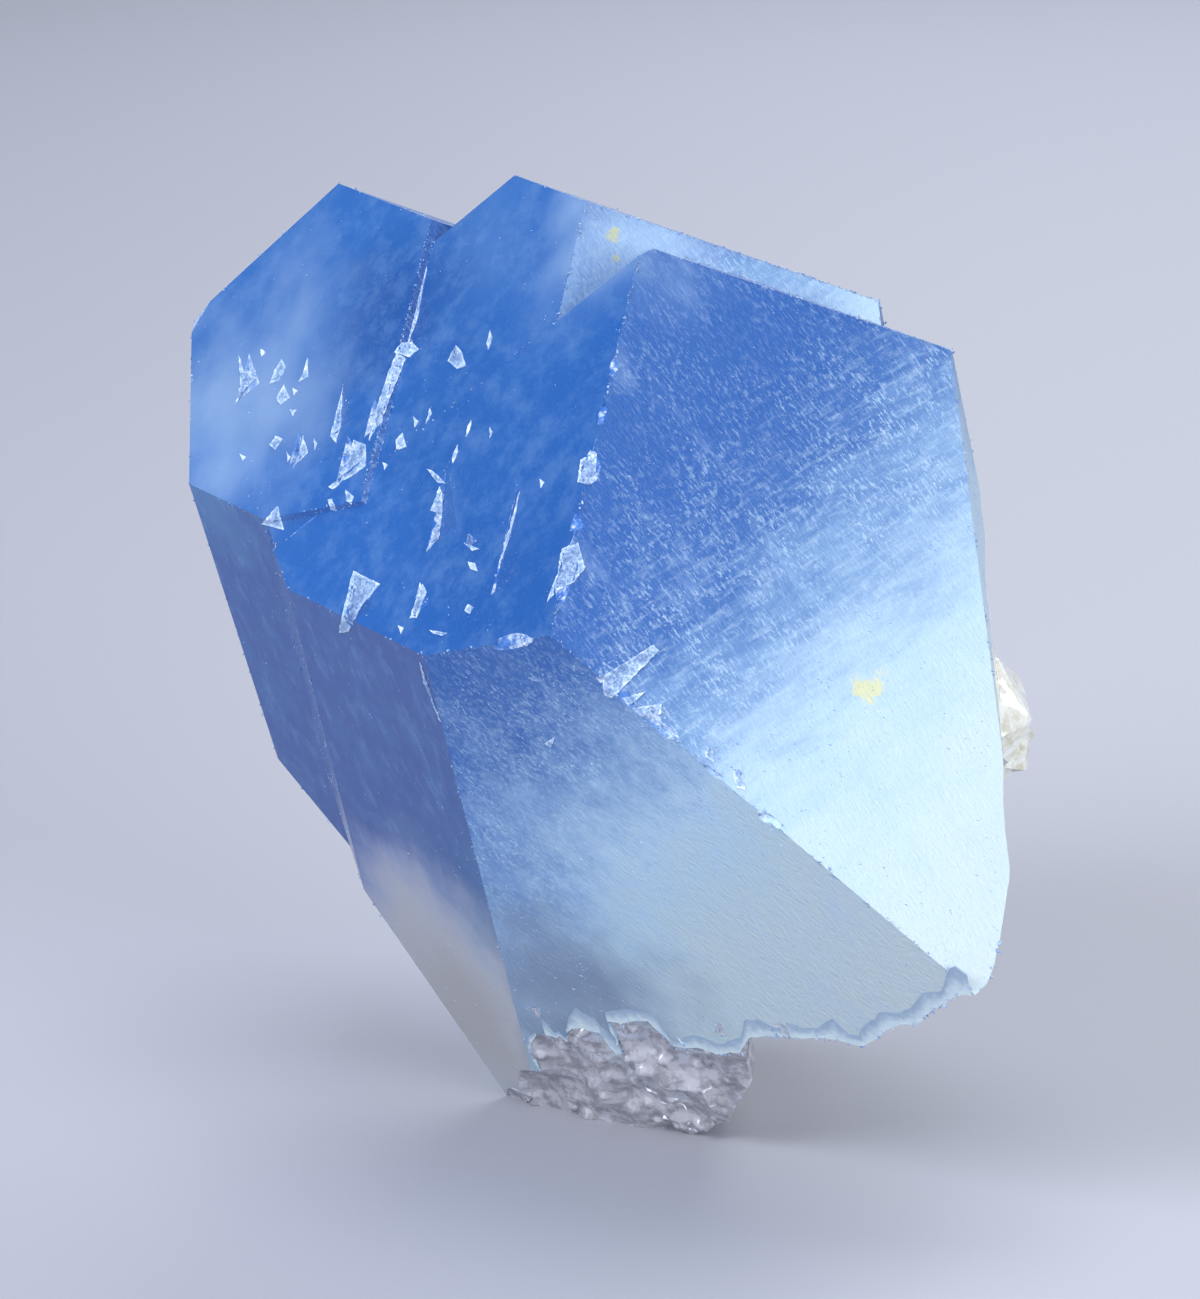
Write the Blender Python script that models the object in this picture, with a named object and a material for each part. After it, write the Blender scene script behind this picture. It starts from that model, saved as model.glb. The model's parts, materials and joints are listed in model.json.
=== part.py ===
"""Celestite crystal: a hand-sized cluster of three crystal heads grown side by side on one root.

The heads share one crystal lattice, so every flat face is a growth face of the mineral, placed by
its index and its distance from a common centre. The root is broken off, and a small flat spot is
ground on the lowest lump so the crystal stands. Metres, +Z up.
"""
import math
import random

import bmesh
import bpy
from mathutils import Euler, Matrix, Vector, noise

for old in list(bpy.data.objects):
    bpy.data.objects.remove(old, do_unlink=True)

MM = 0.001

# The cell edges of the mineral. Only their ratios matter to the angles between faces.
CELL_EDGES = (8.359, 5.352, 6.866)
# How the crystal's own axes are turned when it stands on its broken root, in degrees.
AXES_TURN = (110.1, 7.8, -55.0)
# How far the whole cluster then leans back, in degrees, so its weight is over the foot.
LEAN = 5.0
# The level of the flat spot it stands on, below the growth centre, in millimetres.
REST_LEVEL = -2.5

# Face indices: how often a face cuts each crystal axis. Near-whole numbers are faces that grew a
# degree or two off the ideal plane, as natural ones do.
FACES = {
    "left_slope": (0, 1, 1),
    "front_right": (2, 1, 0),
    "front_lower": (1, -0.25, 2),
    "upper_left": (-2, 1.4, 0),
    "left_peak": (-2, 1.2, 0),
    "top": (0, 1, -1),
    "tip_cut": (0, 1, 0),
    "far_left": (-1, 0, 1),
    "left_corner": (-1, 1, 1),
    "lower_left_tilted": (0.01, -0.07, 1),
    "left_side": (-1, 0, 2),
    "right_side": (1, 0, -1),
    "back_left": (-2, -1, 0),
    "back_left_low": (-2, -1.6, 0),
    "back": (-1, 0, -1),
    "back_low": (-2, -1, -1),
    "back_upper": (-1, 0, -2),
    "back_right": (0, 0, -1),
}

# Distances of each head's faces from the growth centre, in millimetres.
FRONT_HEAD = {
    "left_slope": 29.3,
    "front_right": 29.4,
    "front_lower": -2.9,
    "upper_left": 40.2,
    "top": 52.9,
    "right_side": 29.6,
    "lower_left_tilted": -0.1,
    "left_side": 9.4,
    "back_left": 12.0,
    "back": 24.4,
    "back_low": 18.0,
    "back_upper": 31.4,
    "back_right": 34.4,
}
MIDDLE_HEAD = {
    "left_slope": 29.22,
    "front_right": 24.2,
    "front_lower": -3.1,
    "upper_left": 51.5,
    "tip_cut": 53.7,
    "top": 54.2,
    "right_side": 25.2,
    "lower_left_tilted": -0.3,
    "left_side": 9.2,
    "back_left": 11.6,
    "back": 28.6,
    "back_low": 18.6,
    "back_upper": 33.4,
    "back_right": 35.0,
}
LEFT_HEAD = {
    "left_slope": 29.6,
    "front_right": 12.6,
    "front_lower": -13.2,
    "left_peak": 59.6,
    "top": 49.8,
    "far_left": 20.9,
    "left_corner": 44.7,
    "lower_left_tilted": -2.7,
    "back_left_low": 10.3,
    "back": 34.6,
    "back_low": 18.4,
    "back_upper": 31.0,
    "back_right": 21.6,
}

# Growth pits on the left slope. Each is a shallow wedge with one steep wall along the front ridge:
# (along the ridge, away from the ridge, wall length, depth, floor run), in millimetres. Those
# further away than the terrace's step are on the raised terrace of the left head.
PITS = (
    (22.7, 19.2, 6.2, 0.35, 4.0),
    (16.6, 20.6, 2.8, 0.55, 2.4),
    (17.2, 23.9, 3.8, 0.50, 2.2),
    (13.8, 22.2, 3.2, 0.85, 2.8),
    (20.9, 14.8, 1.5, 0.60, 1.8),
    (21.5, 34.0, 3.6, 0.75, 2.6),
    (15.7, 27.1, 2.4, 0.65, 2.2),
    (7.6, 12.6, 5.8, 0.70, 2.8),
    (2.9, 18.5, 4.2, 0.90, 3.4),
    (3.0, 12.5, 2.4, 0.45, 2.0),
    (3.5, 5.9, 7.2, 0.16, 2.4),
    (7.0, 9.2, 1.2, 0.60, 1.6),
)
TERRACE_STEP = 19.5
PIT_LID = 0.8

# Chips knocked off the ridges: (ridge, distance down it, length, width), in millimetres.
CHIPS = (
    ("left_slope", "front_right", 11.2, 2.8, 0.9),
    ("left_slope", "front_right", 4.2, 4.0, 1.0),
    ("left_slope", "front_right", 7.4, 1.8, 0.5),
    ("left_slope", "front_right", 14.6, 1.6, 0.4),
    ("left_slope", "front_right", 18.0, 1.2, 0.4),
    ("front_right", "front_lower", -5.2, 3.8, 0.8),
    ("front_right", "front_lower", -8.2, 3.0, 1.0),
    ("front_right", "front_lower", -12.4, 1.6, 0.4),
    ("front_right", "front_lower", -16.5, 2.0, 0.6),
    ("left_slope", "front_lower", -3.2, 3.8, 0.7),
    ("left_slope", "front_lower", -7.0, 4.4, 1.1),
)
# A chip's scoop: how far its middle lies outside the ridge and how deep it is, as shares of its
# width, and how uneven it is.
CHIP_OUTSIDE = 0.25
CHIP_DEPTH = 0.7
CHIP_UNEVEN = 0.55
CHIP_LUMP = 0.75

# The broken root: rough planes, (outward direction, distance), meeting at the lower right.
ROOT_BREAK = (
    (Vector((0.35, 0.22, -0.91)), -4.2),
    (Vector((0.75, 0.10, -0.65)), 5.9),
    (Vector((0.95, 0.22, -0.20)), 15.4),
)
ROOT_MIDDLE = Vector((8.0, 0.0, 8.0))
ROOT_WIDTH = 78.0
ROOT_CELL = 1.15
# Relief of the break: a gentle swell, and shallow scoops of two sizes, as (height, size).
ROOT_SWELL = (0.7, 9.0)
ROOT_SCOOPS = ((2.6, 6.0), (0.7, 2.6))
ROOT_MEAN = 0.9
# The lump left standing below the break, which carries the crystal.
FOOT_RIGHT_EDGE = 16.4
FOOT_MIDDLE = 1.0
FOOT_CURVE = 0.04
FOOT_LEVEL = -3.6
FOOT_SLOPE = 5.0
FOOT_EDGE_SWELL = (1.2, 5.0)
# The glassy scar below the scalloped edge of the lower front face.
SCAR_DIRECTION = Vector((-0.42, -0.66, -0.62))
SCAR_DISTANCE = -3.6
SCAR_MIDDLE = Vector((3.0, 0.0, 2.0))
SCAR_WIDTH = 30.0
SCAR_CELL = 0.8
SCAR_SWELL = (0.5, 6.0)
SCAR_SCOOP = (1.5, 3.4)
SCAR_MEAN = 0.4

# Crust of small intergrown crystals at the right of the back: (centre, size), in millimetres.
CRUST = (
    ((22.9, -3.6, 26.9), (5.4, 6.6, 5.6)),
    ((23.6, -1.2, 24.6), (4.6, 5.8, 4.2)),
    ((25.1, -0.4, 23.7), (3.0, 3.6, 2.3)),
    ((22.2, 2.8, 27.4), (4.8, 5.4, 4.8)),
)
CRUST_TURN = 0.5
# How far the worn corners of a crust crystal reach, as shares of its mean half size.
CRUST_CORNER = (1.05, 1.3)

# Blocks that the growth faces cut down: one for a head, and one for a pit or a crust crystal.
BLOCK = 160.0
SMALL_BLOCK = 30.0
BLOCK_CENTRE = Vector((0.0, 0.0, 30.0))
AXES = Euler([math.radians(angle) for angle in AXES_TURN]).to_matrix()
LEANING = Matrix.Rotation(-math.radians(LEAN), 3, "X")
# The direction of the ground, seen by the cluster before it leans.
DOWN = LEANING.transposed() @ Vector((0.0, 0.0, -1.0))


def face_direction(name):
    """The outward direction of a growth face."""
    index = FACES[name]
    return (AXES @ Vector([index[k] / CELL_EDGES[k] for k in range(3)])).normalized()


DIRECTION = {name: face_direction(name) for name in FACES}


def meeting_point(planes):
    """The point shared by three planes, given as (direction, distance)."""
    rows = Matrix([direction for direction, distance in planes])
    return rows.inverted() @ Vector([distance for direction, distance in planes])


def new_object(name, bm, collection):
    """Store a finished bmesh, in millimetres, as an object in metres."""
    bmesh.ops.recalc_face_normals(bm, faces=bm.faces)
    bmesh.ops.scale(bm, vec=(MM, MM, MM), verts=bm.verts)
    mesh = bpy.data.meshes.new(name)
    bm.to_mesh(mesh)
    bm.free()
    thing = bpy.data.objects.new(name, mesh)
    collection.objects.link(thing)
    return thing


def cut_block(bm, centre, size, cuts):
    """Add to bm a cube cut down by planes, the way growth faces bound a crystal."""
    part = bmesh.new()
    bmesh.ops.create_cube(part, size=size, matrix=Matrix.Translation(centre))
    for direction, distance in cuts:
        everything = part.verts[:] + part.edges[:] + part.faces[:]
        result = bmesh.ops.bisect_plane(
            part, geom=everything, plane_co=direction * distance, plane_no=direction,
            clear_outer=True)
        rim = [item for item in result["geom_cut"] if isinstance(item, bmesh.types.BMEdge)]
        if rim:
            bmesh.ops.contextual_create(part, geom=rim)
    bmesh.ops.recalc_face_normals(part, faces=part.faces)
    piece = bpy.data.meshes.new("piece")
    part.to_mesh(piece)
    part.free()
    bm.from_mesh(piece)
    bpy.data.meshes.remove(piece)


def crystal_head(name, distances, collection):
    """One head, bounded by its growth faces."""
    bm = bmesh.new()
    cuts = [(DIRECTION[face], distance) for face, distance in distances.items()]
    cut_block(bm, BLOCK_CENTRE, BLOCK, cuts)
    return new_object(name, bm, collection)


def swell(point, shape):
    """A gentle rise and fall, given as (height, size)."""
    height, size = shape
    return height * noise.noise(point / size)


def scoops(point, shape):
    """Relief of a glassy break: shallow scoops that meet in sharp crests, as (height, size)."""
    height, size = shape
    nearest = noise.voronoi(point / size)[0][0]
    return height * min(nearest, 1.0) ** 2


def break_relief(point):
    """Height of the broken root above its mean plane, in millimetres."""
    return swell(point, ROOT_SWELL) + sum(scoops(point, shape) for shape in ROOT_SCOOPS) - ROOT_MEAN


def scar_relief(point):
    """Height of the glassy scar above its mean plane, in millimetres."""
    return swell(point, SCAR_SWELL) + scoops(point, SCAR_SCOOP) - SCAR_MEAN


def smooth_step(value):
    """A soft 0 to 1 ramp."""
    value = max(0.0, min(1.0, value))
    return value * value * (3.0 - 2.0 * value)


def root_height(foot, outward):
    """How far out along the direction the break lies, at a point of its base plane."""
    heights = [(d - n.normalized().dot(foot)) / n.normalized().dot(outward) for n, d in ROOT_BREAK]
    height = min(heights)
    standing = (-FOOT_LEVEL - DOWN.dot(foot)) / DOWN.dot(outward)
    place = foot + outward * standing
    standing -= FOOT_CURVE * max(0.0, place.x - FOOT_MIDDLE) ** 2 / DOWN.dot(outward)
    edge = FOOT_RIGHT_EDGE + swell(place, FOOT_EDGE_SWELL) - place.x
    return height + (max(standing, height) - height) * smooth_step(0.5 + edge / FOOT_SLOPE)


def rough_block(name, outward, middle, width, cell, relief, collection, height=None):
    """A cutter whose inner side is a rough sheet and whose body lies outward of it.

    The sheet's mean surface is flat, unless height says how far out it lies at each point.
    """
    across = outward.cross(Vector((0.0, 0.0, 1.0))).normalized()
    along = outward.cross(across).normalized()
    bm = bmesh.new()
    steps = int(round(width / cell))
    bmesh.ops.create_grid(bm, x_segments=steps, y_segments=steps, size=width / 2.0)
    for vert in bm.verts:
        foot = middle + across * vert.co.x + along * vert.co.y
        place = foot + outward * height(foot, outward) if height else foot
        vert.co = place + outward * relief(place)
    grown = bmesh.ops.extrude_face_region(bm, geom=bm.faces[:])
    lifted = [item for item in grown["geom"] if isinstance(item, bmesh.types.BMVert)]
    lid = middle + outward * BLOCK / 2.0
    for vert in lifted:
        vert.co += outward * (lid - vert.co).dot(outward)
    bmesh.ops.dissolve_limit(
        bm, angle_limit=math.radians(0.5), verts=lifted,
        edges=[e for e in bm.edges if e.verts[0] in lifted and e.verts[1] in lifted])
    return new_object(name, bm, collection)


def pits_cutter(name, collection):
    """Growth pits: each wedge is a block cut by the ridge face, a sloping floor and an end."""
    slope = DIRECTION["left_slope"]
    wall = DIRECTION["front_right"]
    end = DIRECTION["upper_left"]
    up_ridge = slope.cross(wall).normalized()
    if up_ridge.z < 0.0:
        up_ridge = -up_ridge
    away = slope.cross(up_ridge).normalized()
    if away.dot(wall) > 0.0:
        away = -away
    corner = meeting_point([
        (slope, FRONT_HEAD["left_slope"]), (wall, FRONT_HEAD["front_right"]),
        (DIRECTION["front_lower"], FRONT_HEAD["front_lower"])])
    bm = bmesh.new()
    for along, aside, length, depth, run in PITS:
        raised = LEFT_HEAD["left_slope"] - FRONT_HEAD["left_slope"]
        on_left = aside > TERRACE_STEP
        foot = corner + up_ridge * along + away * aside + slope * (raised if on_left else 0.0)
        deep = foot - slope * depth
        top = foot + up_ridge * length
        far = foot - away * run
        floor = (top - deep).cross(far - deep).normalized()
        if floor.dot(slope) < 0.0:
            floor = -floor
        lid = foot + slope * PIT_LID
        cuts = [
            (-wall, -wall.dot(foot)),
            (-floor, -floor.dot(deep)),
            (-end, -end.dot(foot)),
            (slope, slope.dot(lid)),
        ]
        cut_block(bm, foot, SMALL_BLOCK, cuts)
    return new_object(name, bm, collection)


def chips_cutter(name, collection):
    """Ragged scoops out of the ridges, as lumpy pebbles half sunk into each ridge."""
    corner = meeting_point([
        (DIRECTION[face], FRONT_HEAD[face])
        for face in ("left_slope", "front_right", "front_lower")])
    bm = bmesh.new()
    for first, second, distance, length, width in CHIPS:
        one = DIRECTION[first]
        two = DIRECTION[second]
        ridge = one.cross(two).normalized()
        if ridge.z < 0.0:
            ridge = -ridge
        if first == "left_slope" and second == "front_lower" and ridge.x < 0.0:
            ridge = -ridge
        out = (one + two).normalized()
        side = ridge.cross(out)
        made = bmesh.ops.create_icosphere(bm, subdivisions=3, radius=1.0)
        frame = Matrix((ridge, side, out)).transposed()
        centre = corner + ridge * distance + out * width * CHIP_OUTSIDE
        for vert in made["verts"]:
            shape = vert.co.copy()
            shape *= 1.0 + CHIP_UNEVEN * noise.noise(shape / CHIP_LUMP + centre)
            shape = Vector((shape.x * length / 2.0, shape.y * width, shape.z * width * CHIP_DEPTH))
            vert.co = centre + frame @ shape
    return new_object(name, bm, collection)


def crust_piece(name, centre, size, seed, collection):
    """One blocky little crystal of the crust, bounded by faces of the same lattice, worn."""
    random.seed(seed)
    middle = Vector(centre)
    turn = Euler([random.uniform(-CRUST_TURN, CRUST_TURN) for _ in range(3)]).to_matrix()
    bm = bmesh.new()
    cuts = []
    for k in range(3):
        for sign in (-1.0, 1.0):
            direction = turn @ Vector([sign if j == k else 0.0 for j in range(3)])
            cuts.append((direction, direction.dot(middle) + size[k] / 2.0))
    for sx in (-1.0, 1.0):
        for sy in (-1.0, 1.0):
            for sz in (-1.0, 1.0):
                direction = (turn @ Vector((sx, sy, sz))).normalized()
                reach = sum(size) / 6.0 * random.uniform(*CRUST_CORNER)
                cuts.append((direction, direction.dot(middle) + reach))
    cut_block(bm, middle, SMALL_BLOCK, cuts)
    return new_object(name, bm, collection)


def add_boolean(body, operand, operation):
    """Join or cut exactly, as a modifier."""
    modifier = body.modifiers.new(operand.name, "BOOLEAN")
    modifier.operation = operation
    modifier.solver = "EXACT"
    modifier.object = operand


def crystal_material():
    """Pale blue, see-through: the colour of the mineral."""
    material = bpy.data.materials.new("celestite_blue")
    material.use_nodes = True
    shader = material.node_tree.nodes["Principled BSDF"]
    shader.inputs["Base Color"].default_value = (0.30, 0.52, 0.85, 1.0)
    shader.inputs["Roughness"].default_value = 0.12
    shader.inputs["IOR"].default_value = 1.62
    shader.inputs["Transmission Weight"].default_value = 0.6
    material.diffuse_color = (0.30, 0.52, 0.85, 1.0)
    return material


parts = bpy.data.collections.new("celestite_crystal")
cutters = bpy.data.collections.new("cutters")
bpy.context.scene.collection.children.link(parts)
bpy.context.scene.collection.children.link(cutters)

body = crystal_head("celestite_crystal", FRONT_HEAD, parts)
body.data.materials.append(crystal_material())

joined = [
    crystal_head("middle_head", MIDDLE_HEAD, cutters),
    crystal_head("left_head", LEFT_HEAD, cutters),
]
pits = pits_cutter("growth_pits", cutters)
chips = chips_cutter("ridge_chips", cutters)
root_out = (ROOT_BREAK[0][0].normalized() + ROOT_BREAK[1][0].normalized()).normalized()
root = rough_block(
    "broken_root", root_out, ROOT_MIDDLE, ROOT_WIDTH, ROOT_CELL, break_relief, cutters, root_height)
scar_out = SCAR_DIRECTION.normalized()
scar_middle = SCAR_MIDDLE + scar_out * (SCAR_DISTANCE - scar_out.dot(SCAR_MIDDLE))
scar = rough_block(
    "glassy_scar", scar_out, scar_middle, SCAR_WIDTH, SCAR_CELL, scar_relief, cutters)
crust = [
    crust_piece("crust_%d" % number, centre, size, number, cutters)
    for number, (centre, size) in enumerate(CRUST, 1)]
floor_bm = bmesh.new()
bmesh.ops.create_cube(
    floor_bm, size=BLOCK, matrix=Matrix.Translation((0.0, 0.0, REST_LEVEL - BLOCK / 2.0)))
floor = new_object("rest_cut", floor_bm, cutters)

for thing in list(parts.objects) + list(cutters.objects):
    if thing != floor:
        thing.data.transform(LEANING.to_4x4())

for head in joined:
    add_boolean(body, head, "UNION")
for cutter in (pits, chips, root, scar):
    add_boolean(body, cutter, "DIFFERENCE")
for lump in crust:
    add_boolean(body, lump, "UNION")
add_boolean(body, floor, "DIFFERENCE")

for helper in cutters.objects:
    helper.hide_render = True
    helper.display_type = "WIRE"

# Stand the finished shape over the origin: everything moves by the same amount.
bpy.context.view_layer.update()
shape = body.evaluated_get(bpy.context.evaluated_depsgraph_get())
corners = [Vector(corner) for corner in shape.bound_box]
low = Vector([min(corner[k] for corner in corners) for k in range(3)])
high = Vector([max(corner[k] for corner in corners) for k in range(3)])
shift = Vector((-(low.x + high.x) / 2.0, -(low.y + high.y) / 2.0, -low.z))
for thing in [body] + list(cutters.objects):
    thing.data.transform(Matrix.Translation(shift))
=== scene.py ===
# %% [markdown]
# # A celestite crystal
#
# The object is one loose group of blue celestite crystals, about six centimetres tall. Three
# heads grew side by side on one root. The tips are deep blue and glassy. The root is milky white,
# and it was broken off with a bumpy, glassy break.
#
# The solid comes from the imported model, which gives the flat growth faces their places. This
# script gives the crystal its skin: the haze and colour inside it, the etched faces, the pits'
# bright walls, the worn ridges and the fine grains.

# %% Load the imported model
import json
import math

import bmesh
import bpy
from mathutils import Euler, Matrix, Vector, noise
from mathutils.bvhtree import BVHTree

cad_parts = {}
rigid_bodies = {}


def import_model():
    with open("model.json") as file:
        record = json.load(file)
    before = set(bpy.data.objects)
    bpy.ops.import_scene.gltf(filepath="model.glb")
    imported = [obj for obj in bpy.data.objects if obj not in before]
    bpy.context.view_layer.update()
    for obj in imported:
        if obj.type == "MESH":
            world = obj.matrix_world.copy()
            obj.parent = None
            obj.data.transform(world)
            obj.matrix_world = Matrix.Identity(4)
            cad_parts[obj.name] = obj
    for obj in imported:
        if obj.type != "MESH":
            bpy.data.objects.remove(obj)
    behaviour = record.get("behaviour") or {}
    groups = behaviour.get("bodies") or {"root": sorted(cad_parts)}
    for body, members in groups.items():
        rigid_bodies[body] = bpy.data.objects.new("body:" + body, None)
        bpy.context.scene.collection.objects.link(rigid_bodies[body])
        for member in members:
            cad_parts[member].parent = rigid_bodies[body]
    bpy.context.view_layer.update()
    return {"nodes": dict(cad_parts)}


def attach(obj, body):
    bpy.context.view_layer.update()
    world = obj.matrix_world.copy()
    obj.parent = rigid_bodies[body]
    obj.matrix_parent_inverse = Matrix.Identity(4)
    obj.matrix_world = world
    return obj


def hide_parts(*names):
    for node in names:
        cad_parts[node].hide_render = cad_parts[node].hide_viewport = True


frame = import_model()
MM = 0.001

# %% [markdown]
# ## The camera
#
# The picture of the object fills a frame of 1200 by 1299 pixels, seen from a little above the
# horizon. A long lens keeps the crystal's edges nearly parallel. The lens is worked out from how
# many pixels one radian covers, so that a place in the picture and a place on the crystal can be
# turned into each other later.

# %% Camera at the picture's angle
PICTURE_WIDE = 1200
PICTURE_HIGH = 1299
PIXELS_PER_RADIAN = 5161.3
SENSOR = 36.0
EYE = Vector((-0.05, -314.2, 115.2)) * MM
AIM = Vector((-0.05, -5.1, 32.4)) * MM

camera_data = bpy.data.cameras.new("camera")
camera_data.sensor_width = SENSOR
camera_data.lens = PIXELS_PER_RADIAN * SENSOR / PICTURE_HIGH
camera_data.clip_start = 0.01
camera_data.clip_end = 20.0
camera = bpy.data.objects.new("camera", camera_data)
camera.location = EYE
camera.rotation_euler = (AIM - EYE).to_track_quat("-Z", "Y").to_euler()
bpy.context.scene.collection.objects.link(camera)
bpy.context.scene.camera = camera
print("lens:", round(camera_data.lens, 1), "mm")

# %% [markdown]
# ## Floor and lights
#
# The crystal stands on a plain pale floor. The light is soft studio light: one large lamp from the
# upper right, which makes the milky root glow, a weaker one from the left for the glossy slope,
# and one behind the crystal, because a see-through stone only comes alive with light through it.

# %% Floor and soft lights


def plain_material(name, colour, roughness):
    """A material with one colour and one roughness."""
    material = bpy.data.materials.new(name)
    material.use_nodes = True
    shader = material.node_tree.nodes["Principled BSDF"]
    shader.inputs["Base Color"].default_value = (*colour, 1.0)
    shader.inputs["Roughness"].default_value = roughness
    return material


def mesh_object(name, bm):
    """Store a finished bmesh as an object in the scene."""
    mesh = bpy.data.meshes.new(name)
    bm.to_mesh(mesh)
    bm.free()
    thing = bpy.data.objects.new(name, mesh)
    bpy.context.scene.collection.objects.link(thing)
    return thing


floor_bm = bmesh.new()
bmesh.ops.create_grid(floor_bm, x_segments=2, y_segments=2, size=3.0)
floor = mesh_object("floor", floor_bm)
floor.data.materials.append(plain_material("pale_floor", (0.42, 0.43, 0.50), 0.6))


def soft_lamp(name, place, size, power, colour):
    """A square area lamp that looks at the middle of the crystal."""
    data = bpy.data.lights.new(name, "AREA")
    data.size = size
    data.energy = power
    data.color = colour
    lamp = bpy.data.objects.new(name, data)
    lamp.location = place
    lamp.rotation_euler = (Vector((0.0, 0.0, 0.03)) - Vector(place)).to_track_quat("-Z", "Y").to_euler()
    bpy.context.scene.collection.objects.link(lamp)
    return lamp


soft_lamp("key_lamp", (0.36, -0.47, 0.16), 0.30, 2.6, (1.0, 0.99, 0.97))
soft_lamp("slope_lamp", (-0.50, -0.36, 0.42), 0.36, 4.8, (0.92, 0.96, 1.0))
soft_lamp("top_lamp", (0.00, 0.05, 0.70), 0.40, 2.2, (0.95, 0.97, 1.0))
soft_lamp("back_lamp", (0.15, 0.55, 0.35), 0.35, 1.6, (0.95, 0.98, 1.0))

world = bpy.data.worlds.new("soft_room")
bpy.context.scene.world = world
world.use_nodes = True
world.node_tree.nodes["Background"].inputs["Color"].default_value = (0.55, 0.62, 0.78, 1.0)
world.node_tree.nodes["Background"].inputs["Strength"].default_value = 0.30
bpy.context.scene.view_settings.view_transform = "Standard"
light_paths = bpy.context.scene.cycles
light_paths.max_bounces = 6
light_paths.diffuse_bounces = 2
light_paths.glossy_bounces = 3
light_paths.transmission_bounces = 5
light_paths.caustics_reflective = False
light_paths.caustics_refractive = False

# %% [markdown]
# ## The crystal's own directions
#
# Celestite is orthorhombic: its three crystal axes are square to each other, but unequal. A growth
# face is named by how it cuts these axes, and its outward direction follows from that. With the
# directions at hand, each face of the solid can be told apart by its normal, and the etching and
# the gloss can be given face by face, as they are on the real stone.

# %% Growth directions
CELL_EDGES = (8.359, 5.352, 6.866)
AXES_TURN = (110.1, 7.8, -55.0)
LEAN = 5.0
FACE_INDEX = {
    "left_slope": (0, 1, 1),
    "front_right": (2, 1, 0),
    "front_lower": (1, -0.25, 2),
    "top": (0, 1, -1),
    "tip_cut": (0, 1, 0),
    "upper_left": (-2, 1.4, 0),
    "left_peak": (-2, 1.2, 0),
    "left_corner": (-1, 1, 1),
    "lower_left": (0.01, -0.07, 1),
    "left_side": (-1, 0, 2),
    "far_left": (-1, 0, 1),
    "right_side": (1, 0, -1),
}
AXES = Euler([math.radians(angle) for angle in AXES_TURN]).to_matrix()
STANDING = Matrix.Rotation(-math.radians(LEAN), 3, "X")


def face_direction(index):
    """The outward direction of a growth face, on the standing crystal."""
    return (STANDING @ AXES @ Vector([index[k] / CELL_EDGES[k] for k in range(3)])).normalized()


GROWN = {name: face_direction(index) for name, index in FACE_INDEX.items()}
print("left slope looks to:", tuple(round(value, 2) for value in GROWN["left_slope"]))

# %% [markdown]
# ## The crystal's body
#
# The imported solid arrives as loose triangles. They are merged into one closed skin first. Then the
# flat growth faces are told from the broken ones: triangles that lie in one plane and make up more
# than a few square millimetres belong to a growth face. The broken skin of the root and of the
# glassy scar is cut finer and gets a small relief of its own, because a real break has shallow
# scoops within scoops. The growth faces stay exactly flat.

# %% Merge the solid and sort its faces
NODE = "celestite_crystal"
SMALLEST_GROWN = 2.5 * MM * MM
LARGEST_FLAT_SPOT = 12.0 * MM * MM
ROOT_TOP = 33.0 * MM
SAME_PLANE = math.radians(0.6)
THINNEST = 0.03 * MM


def merged_copy(node):
    """The node's triangles as one closed bmesh."""
    bm = bmesh.new()
    bm.from_mesh(frame["nodes"][node].data)
    bmesh.ops.remove_doubles(bm, verts=bm.verts, dist=0.0005 * MM)
    bmesh.ops.dissolve_degenerate(bm, dist=0.002 * MM, edges=bm.edges)
    bm.normal_update()
    return bm


def is_sliver(face):
    """A triangle so thin that its own direction can't be trusted."""
    longest = max(edge.calc_length() for edge in face.edges)
    return 2.0 * face.calc_area() / longest < THINNEST


def patch_area(patch):
    """The area of a group of faces."""
    return sum(face.calc_area() for face in patch)


def flat_patches(bm):
    """Groups of touching faces that lie in one plane. A sliver goes with the face it lies against."""
    seen = set()
    groups = []
    slivers = {face for face in bm.faces if is_sliver(face)}
    for start in sorted(bm.faces, key=lambda face: -face.calc_area()):
        if start in seen:
            continue
        seen.add(start)
        group = [start]
        for face in group:
            for edge in face.edges:
                for near in edge.link_faces:
                    in_plane = near in slivers or near.normal.angle(start.normal, 4.0) < SAME_PLANE
                    if near not in seen and in_plane:
                        seen.add(near)
                        group.append(near)
        groups.append(group)
    return groups


body_bm = merged_copy(NODE)
etch_layer = body_bm.faces.layers.float.new("etch")
break_layer = body_bm.faces.layers.float.new("break_skin")
frost_layer = body_bm.faces.layers.float.new("frosted")
depth_and_lift_layer = body_bm.faces.layers.float.new("depth_and_lift")
clear_layer = body_bm.faces.layers.float.new("clear")
crust_layer = body_bm.faces.layers.float.new("crust")
patches = flat_patches(body_bm)
broken_faces = {f for patch in patches if patch_area(patch) <= SMALLEST_GROWN for f in patch}


def nearest_grown(normal):
    """The name of the growth face that this normal belongs to, or None."""
    name = min(GROWN, key=lambda key: GROWN[key].angle(normal))
    return name if GROWN[name].angle(normal) < math.radians(4.0) else None


def on_growth(patch):
    """True for a flat patch that is large enough and is no mere flat spot in broken skin."""
    if patch_area(patch) <= SMALLEST_GROWN:
        return False
    above_root = patch[0].calc_center_median().z > ROOT_TOP
    if above_root or patch_area(patch) > LARGEST_FLAT_SPOT or nearest_grown(patch[0].normal):
        return True
    inside = set(patch)
    around = [near for f in patch for edge in f.edges for near in edge.link_faces if near not in inside]
    return sum(near in broken_faces for near in around) < 0.6 * len(around)


grown_patches = [patch for patch in patches if on_growth(patch)]
print(len(body_bm.faces), "triangles,", len(grown_patches), "growth faces")
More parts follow.
